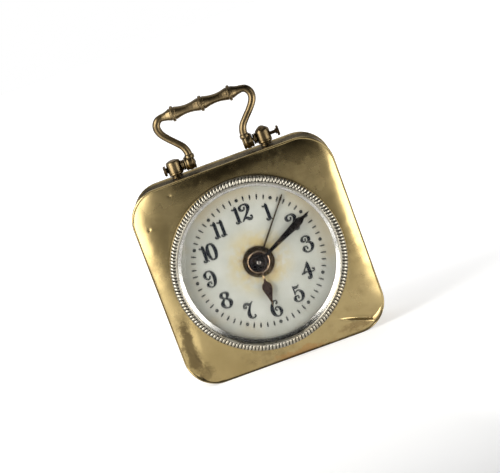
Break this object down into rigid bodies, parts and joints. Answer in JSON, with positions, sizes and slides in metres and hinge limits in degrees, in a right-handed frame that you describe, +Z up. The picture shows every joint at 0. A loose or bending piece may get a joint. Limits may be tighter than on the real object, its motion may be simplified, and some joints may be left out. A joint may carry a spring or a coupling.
{
  "type": "carriage clock",
  "caption": "Small square travelling alarm clock with a pillowed brass case, round knurled bezel, bail handle and a wind-up movement.",
  "frame": {"origin": "centre of the flat bottom of the case, at the middle of the depth of its side walls", "axes": "+Z up towards twelve o'clock, -Y out of the dial, +X towards three o'clock"},
  "size_m": [0.065, 0.0296, 0.0854],
  "materials": {
    "case_brass": "aged brass, softly polished, with tarnish and wear",
    "bezel_nickel": "worn nickel plate",
    "lens": "clear bevelled glass",
    "ring_metal": "dull grey",
    "dial_paint": "aged off-white with numbers in blue-black",
    "handle_brass": "dark antique brass",
    "hand_steel": "blued and blackened steel",
    "alarm_brass": "brown gilt brass",
    "movement_brass": "turned and brushed brass",
    "movement_steel": "polished steel",
    "blued_steel": "blued steel"
  },
  "bodies": {
    "clock_body": {"case_band": "case_brass", "front_shell": "case_brass", "bezel": "bezel_nickel", "glass": "lens", "reflector_ring": "ring_metal", "dial": "dial_paint", "dial_feet": "movement_brass", "back_cover": "case_brass", "cover_screws": "movement_steel", "movement_screws": "movement_steel", "standoffs": "movement_brass", "handle_post_left": "handle_brass", "handle_post_right": "handle_brass", "post_nuts": "case_brass", "pivot_screws": "handle_brass", "pivot_washers": "handle_brass", "front_plate": "movement_brass", "back_plate": "movement_brass", "pillars": "movement_brass", "minute_wheel_stud": "movement_steel", "hairspring": "blued_steel", "gong": "blued_steel", "gong_block": "movement_brass", "click_springs": "movement_steel"},
    "handle": {"handle_bail": "handle_brass", "handle_knuckles": "handle_brass"},
    "minute_work": {"centre_arbor": "movement_steel", "cannon_pinion": "movement_steel", "minute_hand": "hand_steel", "hand_set_knob": "movement_brass", "clutch_spring": "movement_steel"},
    "minute_wheel": {"minute_wheel": "movement_brass"},
    "hour_work": {"hour_wheel": "movement_brass", "hour_hand": "hand_steel"},
    "alarm_pointer": {"alarm_wheel": "movement_brass", "alarm_hand": "alarm_brass"},
    "alarm_set": {"alarm_set_arbor": "movement_steel", "alarm_set_knob": "movement_brass"},
    "time_barrel": {"time_barrel": "movement_brass", "time_mainspring": "movement_steel"},
    "time_winding": {"time_arbor": "movement_steel", "time_ratchet": "movement_steel", "time_key": "movement_brass"},
    "time_click": {"time_click": "movement_steel"},
    "centre_wheel": {"centre_wheel": "movement_brass"},
    "third_wheel": {"third_wheel": "movement_brass"},
    "fourth_wheel": {"fourth_wheel": "movement_brass"},
    "escape_wheel": {"escape_wheel": "movement_steel"},
    "pallet_lever": {"pallet_lever": "movement_steel"},
    "balance": {"balance_wheel": "movement_brass"},
    "regulator": {"regulator_lever": "movement_steel"},
    "alarm_barrel": {"alarm_barrel": "movement_brass", "alarm_mainspring": "movement_steel"},
    "alarm_winding": {"alarm_arbor": "movement_steel", "alarm_ratchet": "movement_steel", "alarm_key": "movement_brass"},
    "alarm_click": {"alarm_click": "movement_steel"},
    "strike_wheel": {"strike_wheel": "movement_brass"},
    "hammer": {"hammer": "movement_steel"},
    "alarm_stop": {"alarm_stop_lever": "movement_brass"}
  },
  "joints": [
    {"name": "handle_swing", "type": "hinge", "parent": "clock_body", "child": "handle", "pos_m": [0, 0, 0.067], "axis": [1, 0, 0], "range_deg": [-90, 90]},
    {"name": "hand_setting", "type": "hinge", "parent": "clock_body", "child": "minute_work", "pos_m": [0, 0, 0.032], "axis": [0, 1, 0], "continuous": true},
    {"name": "minute_wheel_turn", "type": "hinge", "parent": "clock_body", "child": "minute_wheel", "pos_m": [0.0059, 0, 0.03613], "axis": [0, 1, 0], "continuous": true},
    {"name": "hour_hand_turn", "type": "hinge", "parent": "clock_body", "child": "hour_work", "pos_m": [0, 0, 0.032], "axis": [0, 1, 0], "continuous": true},
    {"name": "alarm_setting", "type": "hinge", "parent": "clock_body", "child": "alarm_set", "pos_m": [0, 0, 0.022], "axis": [0, 1, 0], "continuous": true},
    {"name": "alarm_hand_turn", "type": "hinge", "parent": "clock_body", "child": "alarm_pointer", "pos_m": [0, 0, 0.032], "axis": [0, 1, 0], "continuous": true},
    {"name": "train_run", "type": "hinge", "parent": "clock_body", "child": "third_wheel", "pos_m": [-0.00138, 0, 0.0398], "axis": [0, 1, 0], "continuous": true},
    {"name": "centre_wheel_turn", "type": "hinge", "parent": "clock_body", "child": "centre_wheel", "pos_m": [0, 0, 0.032], "axis": [0, 1, 0], "continuous": true},
    {"name": "time_barrel_turn", "type": "hinge", "parent": "clock_body", "child": "time_barrel", "pos_m": [0.01579, 0, 0.02625], "axis": [0, 1, 0], "continuous": true},
    {"name": "fourth_wheel_turn", "type": "hinge", "parent": "clock_body", "child": "fourth_wheel", "pos_m": [0.00038, 0, 0.04637], "axis": [0, 1, 0], "continuous": true},
    {"name": "escape_wheel_turn", "type": "hinge", "parent": "clock_body", "child": "escape_wheel", "pos_m": [-0.00537, 0, 0.04846], "axis": [0, 1, 0], "continuous": true},
    {"name": "pallet_rock", "type": "hinge", "parent": "clock_body", "child": "pallet_lever", "pos_m": [-0.00935, 0, 0.05076], "axis": [0, 1, 0], "range_deg": [-6, 6]},
    {"name": "balance_swing", "type": "hinge", "parent": "clock_body", "child": "balance", "pos_m": [-0.01472, 0, 0.05386], "axis": [0, 1, 0], "range_deg": [-220, 220]},
    {"name": "regulator_shift", "type": "hinge", "parent": "clock_body", "child": "regulator", "pos_m": [-0.01472, 0, 0.05386], "axis": [0, 1, 0], "range_deg": [-12, 12]},
    {"name": "time_winding_turn", "type": "hinge", "parent": "clock_body", "child": "time_winding", "pos_m": [0.01579, 0, 0.02625], "axis": [0, -1, 0], "range_deg": [0, 1440]},
    {"name": "time_click_lift", "type": "hinge", "parent": "clock_body", "child": "time_click", "pos_m": [0.01939, 0, 0.03249], "axis": [0, 1, 0], "range_deg": [0, 8]},
    {"name": "alarm_run", "type": "hinge", "parent": "clock_body", "child": "alarm_barrel", "pos_m": [-0.0165, 0, 0.02625], "axis": [0, 1, 0], "continuous": true},
    {"name": "strike_wheel_turn", "type": "hinge", "parent": "clock_body", "child": "strike_wheel", "pos_m": [-0.00695, 0, 0.01602], "axis": [0, 1, 0], "continuous": true},
    {"name": "hammer_strike", "type": "hinge", "parent": "clock_body", "child": "hammer", "pos_m": [-0.00156, 0, 0.01327], "axis": [0, 1, 0], "range_deg": [-10, 7]},
    {"name": "alarm_winding_turn", "type": "hinge", "parent": "clock_body", "child": "alarm_winding", "pos_m": [-0.0165, 0, 0.02625], "axis": [0, -1, 0], "range_deg": [0, 1080]},
    {"name": "alarm_click_lift", "type": "hinge", "parent": "clock_body", "child": "alarm_click", "pos_m": [-0.02327, 0, 0.02872], "axis": [0, 1, 0], "range_deg": [0, 8]},
    {"name": "alarm_stop_turn", "type": "hinge", "parent": "clock_body", "child": "alarm_stop", "pos_m": [0.0125, 0, 0.0185], "axis": [0, 1, 0], "range_deg": [-30, 30]}
  ],
  "couplings": [
    {"joint": "minute_wheel_turn", "follows": "hand_setting", "ratio": -0.33333},
    {"joint": "hour_hand_turn", "follows": "hand_setting", "ratio": 0.083333},
    {"joint": "alarm_hand_turn", "follows": "alarm_setting", "ratio": -0.33333},
    {"joint": "centre_wheel_turn", "follows": "train_run", "ratio": -0.125},
    {"joint": "time_barrel_turn", "follows": "train_run", "ratio": 0.020833},
    {"joint": "fourth_wheel_turn", "follows": "train_run", "ratio": -7.5},
    {"joint": "escape_wheel_turn", "follows": "train_run", "ratio": 56.25},
    {"joint": "strike_wheel_turn", "follows": "alarm_run", "ratio": -6}
  ]
}
